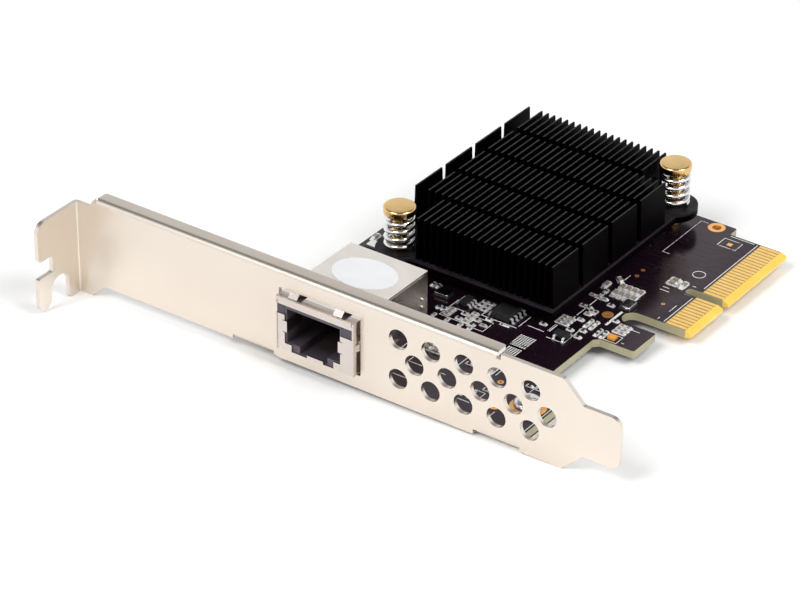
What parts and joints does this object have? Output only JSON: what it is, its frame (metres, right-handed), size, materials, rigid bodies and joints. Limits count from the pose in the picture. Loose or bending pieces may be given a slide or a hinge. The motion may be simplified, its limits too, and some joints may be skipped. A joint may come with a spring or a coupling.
{
  "type": "network interface card",
  "caption": "Low-height expansion card with a tall slot bracket, one shielded cable socket, a sprung finned heat sink and a gold edge connector.",
  "frame": {"origin": "corner of the bracket where the ear's seat plane, the plate's outer face and the plate's straight lower edge meet", "axes": "+X along the bracket from the screw ear to the tongue, the way the edge contacts point; +Y from the bracket into the computer along the board; +Z out of the board's component side"},
  "size_m": [0.1201, 0.0949, 0.0211],
  "materials": {
    "bracket_steel": "satin nickel-plated sheet",
    "shell_steel": "satin tin-plated sheet",
    "bright_steel": "bright plated",
    "board_laminate": "glossy black solder mask",
    "gold": "bright gold plate",
    "copper": "bare orange copper",
    "socket_plastic": "matte moulded",
    "smoky_plastic": "smoky satin",
    "label_film": "matte white film",
    "black_anodised": "satin black anodised",
    "pin_brass": "polished",
    "chip_resin": "matte moulded resin",
    "pad_rubber": "soft grey pad",
    "tinned_metal": "bright tin",
    "ceramic_tan": "matte ceramic",
    "resistor_black": "matte glaze",
    "coil_grey": "matte pressed powder",
    "tantalum_resin": "matte moulded resin",
    "orange_body": "glossy"
  },
  "bodies": {
    "root": {"slot_bracket": "bracket_steel", "circuit_board": "board_laminate", "edge_contacts_front": "gold", "edge_contacts_rear": "gold", "copper_lands": "copper", "board_screws": "bright_steel", "socket_shell": "shell_steel", "socket_housing": "socket_plastic", "socket_contacts": "gold", "light_pipes": "smoky_plastic", "shell_label": "label_film", "heat_sink": "black_anodised", "push_pins": "pin_brass", "pin_springs": "bright_steel", "controller_substrate": "chip_resin", "controller_lid": "chip_resin", "thermal_pad": "pad_rubber", "memory_chip": "chip_resin", "memory_leads": "tinned_metal", "driver_chip": "chip_resin", "driver_leads": "tinned_metal", "switch_chip": "chip_resin", "switch_leads": "tinned_metal", "small_capacitors": "ceramic_tan", "small_resistors": "resistor_black", "large_capacitors": "ceramic_tan", "chip_terminals": "tinned_metal", "rear_capacitors": "ceramic_tan", "crystal_bases": "chip_resin", "crystal_lids": "bright_steel", "power_coils": "coil_grey", "bulk_capacitors": "tantalum_resin", "bulk_capacitor_feet": "tinned_metal", "orange_chip": "orange_body"}
  },
  "joints": []
}
